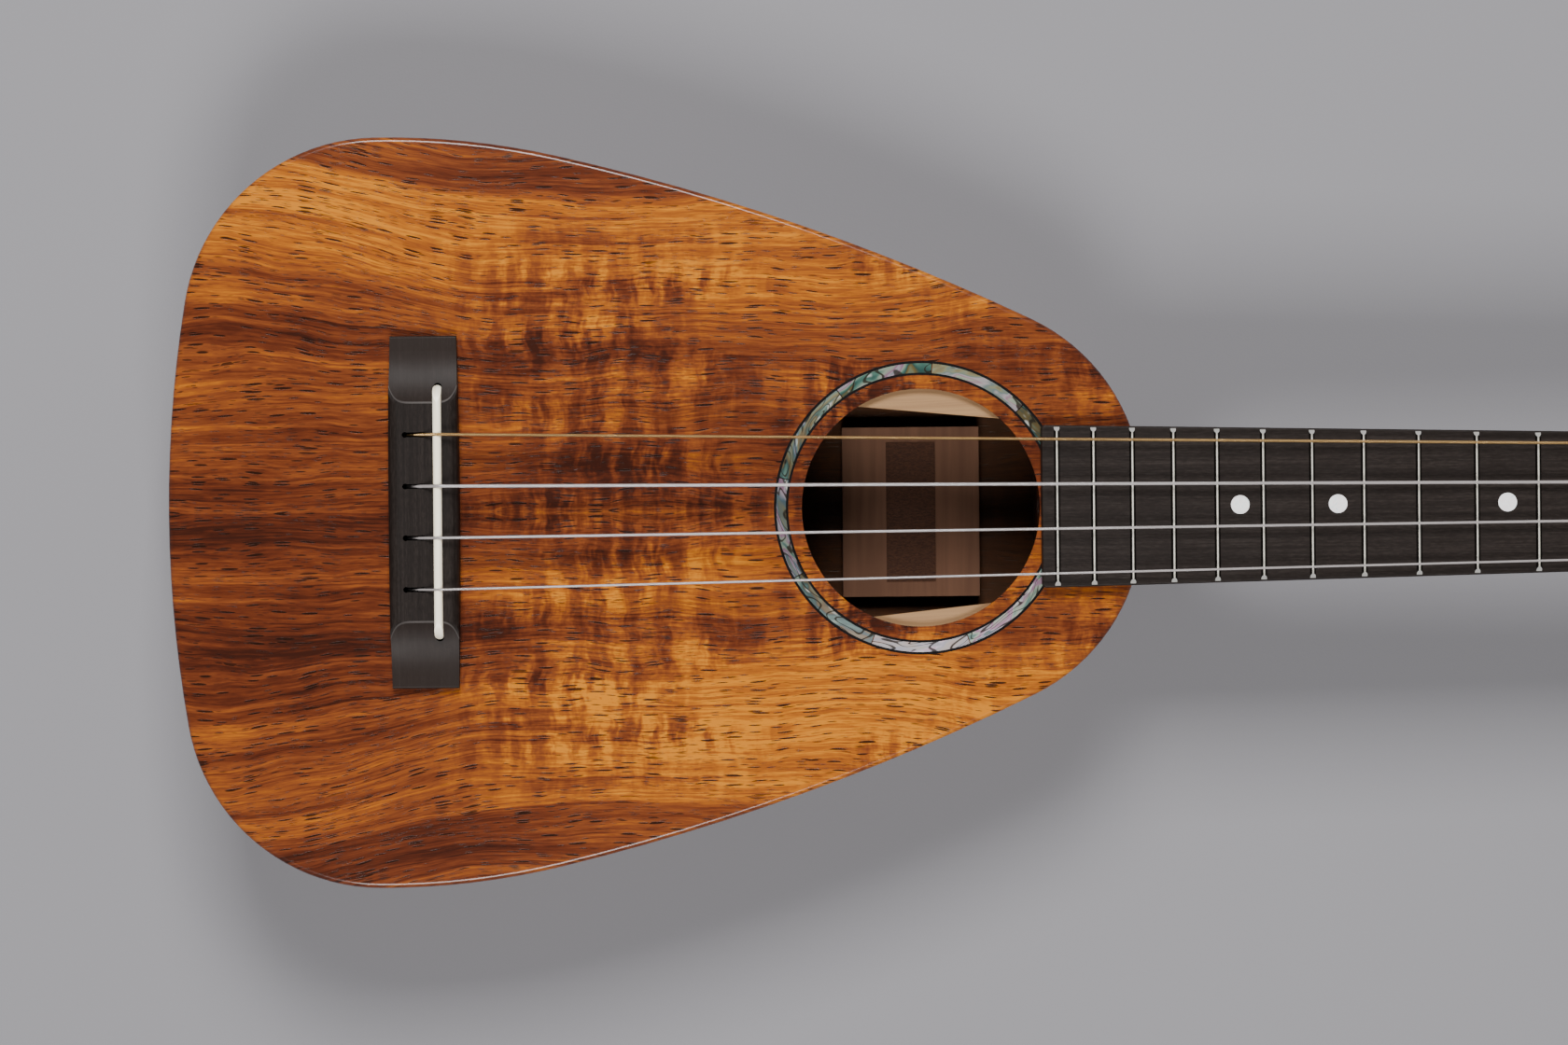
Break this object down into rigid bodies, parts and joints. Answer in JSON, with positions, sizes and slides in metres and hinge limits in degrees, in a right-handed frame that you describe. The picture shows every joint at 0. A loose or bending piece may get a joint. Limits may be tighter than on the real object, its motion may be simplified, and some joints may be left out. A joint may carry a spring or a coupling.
{
  "type": "tenor ukulele",
  "caption": "Acoustic ukulele with a flat-topped hollow body that widens towards the tail, a fretted neck, four strings tied through the bridge and geared tuners.",
  "frame": {"origin": "on the outer face of the back, on the centreline, straight below the theoretical saddle line of the scale", "axes": "+X along the neck from the tail to the headstock, +Y to the bass side where the G string lies, +Z out of the soundboard; the instrument lies on its flat back on z = 0"},
  "size_m": [0.6295, 0.2102, 0.0792],
  "materials": {
    "koa": "satin lacquer",
    "mahogany": "satin lacquer",
    "spruce": "raw",
    "ebony": "oiled, satin",
    "label_wood": "raw",
    "bone": "polished",
    "nickel_silver": "polished",
    "abalone": "polished",
    "black_purfling": "matte",
    "pearl": "polished",
    "plain_string": "translucent",
    "wound_string": "wound",
    "button_black": "gloss",
    "tuner_plating": "plated",
    "brass": "machined",
    "bolt_steel": "black oxide"
  },
  "bodies": {
    "instrument": {"back_bass_half": "koa", "back_braces": "spruce", "back_treble_half": "koa", "bridge": "ebony", "bridge_plate": "spruce", "cross_brace": "spruce", "fan_braces": "spruce", "fretboard": "ebony", "frets": "nickel_silver", "headstock_veneer": "koa", "heel_cap": "ebony", "kerfed_linings": "mahogany", "label_plaque": "label_wood", "neck": "mahogany", "neck_block": "mahogany", "neck_bolts": "bolt_steel", "neck_inserts": "brass", "nut": "bone", "position_dots": "pearl", "rosette_purfling": "black_purfling", "rosette_shell": "abalone", "saddle": "bone", "side_bass": "koa", "side_dots": "pearl", "side_treble": "koa", "soundhole_braces": "spruce", "string_a": "plain_string", "string_c": "plain_string", "string_e": "plain_string", "string_g": "wound_string", "tail_block": "mahogany", "top_bass_half": "koa", "top_treble_half": "koa", "tuner_bushings": "tuner_plating", "tuner_plates": "tuner_plating", "tuner_screws": "tuner_plating"},
    "knob_g": {"worm_shaft_g": "tuner_plating", "button_g": "button_black"},
    "post_g": {"post_g": "tuner_plating", "gear_g": "brass", "gear_screw_g": "tuner_plating", "winding_g": "wound_string"},
    "knob_c": {"worm_shaft_c": "tuner_plating", "button_c": "button_black"},
    "post_c": {"post_c": "tuner_plating", "gear_c": "brass", "gear_screw_c": "tuner_plating", "winding_c": "plain_string"},
    "knob_e": {"worm_shaft_e": "tuner_plating", "button_e": "button_black"},
    "post_e": {"post_e": "tuner_plating", "gear_e": "brass", "gear_screw_e": "tuner_plating", "winding_e": "plain_string"},
    "knob_a": {"worm_shaft_a": "tuner_plating", "button_a": "button_black"},
    "post_a": {"post_a": "tuner_plating", "gear_a": "brass", "gear_screw_a": "tuner_plating", "winding_a": "plain_string"}
  },
  "joints": [
    {"name": "knob_g_turn", "type": "hinge", "parent": "instrument", "child": "knob_g", "pos_m": [0.47106, 0.0165, 0.04497], "axis": [0, 1, 0], "continuous": true},
    {"name": "post_g_turn", "type": "hinge", "parent": "instrument", "child": "post_g", "pos_m": [0.4681, 0.0165, 0.06135], "axis": [0.2079, 0, 0.9781], "continuous": true},
    {"name": "knob_c_turn", "type": "hinge", "parent": "instrument", "child": "knob_c", "pos_m": [0.51606, 0.0175, 0.03541], "axis": [0, 1, 0], "continuous": true},
    {"name": "post_c_turn", "type": "hinge", "parent": "instrument", "child": "post_c", "pos_m": [0.5131, 0.0175, 0.05178], "axis": [0.2079, 0, 0.9781], "continuous": true},
    {"name": "knob_e_turn", "type": "hinge", "parent": "instrument", "child": "knob_e", "pos_m": [0.51606, -0.0175, 0.03541], "axis": [0, 1, 0], "continuous": true},
    {"name": "post_e_turn", "type": "hinge", "parent": "instrument", "child": "post_e", "pos_m": [0.5131, -0.0175, 0.05178], "axis": [0.2079, 0, 0.9781], "continuous": true},
    {"name": "knob_a_turn", "type": "hinge", "parent": "instrument", "child": "knob_a", "pos_m": [0.47106, -0.0165, 0.04497], "axis": [0, 1, 0], "continuous": true},
    {"name": "post_a_turn", "type": "hinge", "parent": "instrument", "child": "post_a", "pos_m": [0.4681, -0.0165, 0.06135], "axis": [0.2079, 0, 0.9781], "continuous": true}
  ],
  "couplings": [
    {"joint": "post_g_turn", "follows": "knob_g_turn", "ratio": -0.071429},
    {"joint": "post_c_turn", "follows": "knob_c_turn", "ratio": -0.071429},
    {"joint": "post_e_turn", "follows": "knob_e_turn", "ratio": 0.071429},
    {"joint": "post_a_turn", "follows": "knob_a_turn", "ratio": 0.071429}
  ]
}
